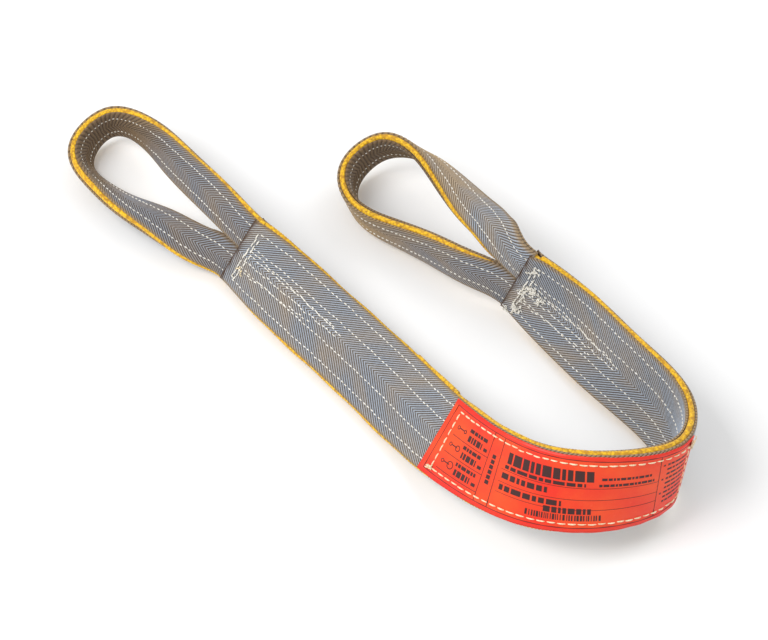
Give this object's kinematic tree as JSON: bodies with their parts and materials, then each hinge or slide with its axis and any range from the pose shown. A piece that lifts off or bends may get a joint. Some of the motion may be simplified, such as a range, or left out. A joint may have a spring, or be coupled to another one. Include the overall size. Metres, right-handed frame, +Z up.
{
  "type": "flat web lifting sling",
  "caption": "Flat web lifting sling with reversed eyes, wear pads along the body and round both eyes, and a sewn label, lying bent in a U.",
  "frame": {"origin": "on the floor, under the middle of the sling's bounding box as it lies", "axes": "+Z up from the floor; +X along the longer side of the plan, from the left eye towards the bend; +Y from the bend towards the eyes"},
  "size_m": [0.5536, 0.4746, 0.096],
  "materials": {
    "load_web": "knitted edge, matte",
    "wear_pad": "herringbone weave, matte",
    "label": "satin film",
    "thread": "twisted bonded thread"
  },
  "bodies": {
    "sling_body": {"load_web_upper_run": "load_web", "load_web_lower_run": "load_web", "body_pad_front": "wear_pad", "body_pad_back": "wear_pad", "label": "label", "label_seam": "thread", "front_seam_left_1": "thread", "front_seam_left_2": "thread", "front_seam_left_3": "thread", "front_seam_left_4": "thread", "front_seam_right_1": "thread", "front_seam_right_2": "thread", "front_seam_right_3": "thread", "front_seam_right_4": "thread", "back_seam_1": "thread", "back_seam_2": "thread", "back_seam_3": "thread", "back_seam_4": "thread", "left_splice_seam_front": "thread", "left_splice_seam_back": "thread", "right_splice_seam_front": "thread", "right_splice_seam_back": "thread"},
    "left_eye": {"left_eye_web": "load_web", "left_eye_pad_inner": "wear_pad", "left_eye_pad_outer": "wear_pad", "left_eye_seam_inner_upper_1": "thread", "left_eye_seam_inner_lower_1": "thread", "left_eye_seam_inner_upper_2": "thread", "left_eye_seam_inner_lower_2": "thread", "left_eye_seam_outer_1": "thread", "left_eye_seam_outer_2": "thread"},
    "right_eye": {"right_eye_web": "load_web", "right_eye_pad_inner": "wear_pad", "right_eye_pad_outer": "wear_pad", "right_eye_seam_inner_upper_1": "thread", "right_eye_seam_inner_lower_1": "thread", "right_eye_seam_inner_upper_2": "thread", "right_eye_seam_inner_lower_2": "thread", "right_eye_seam_outer_1": "thread", "right_eye_seam_outer_2": "thread"}
  },
  "joints": [
    {"name": "left_eye_flex", "type": "hinge", "parent": "sling_body", "child": "left_eye", "pos_m": [-0.108, 0.067, 0.0348], "axis": [0, 0, 1], "range_deg": [-25, 25]},
    {"name": "right_eye_flex", "type": "hinge", "parent": "sling_body", "child": "right_eye", "pos_m": [0.139, 0.024, 0.0438], "axis": [0, 0, 1], "range_deg": [-30, 22]}
  ]
}
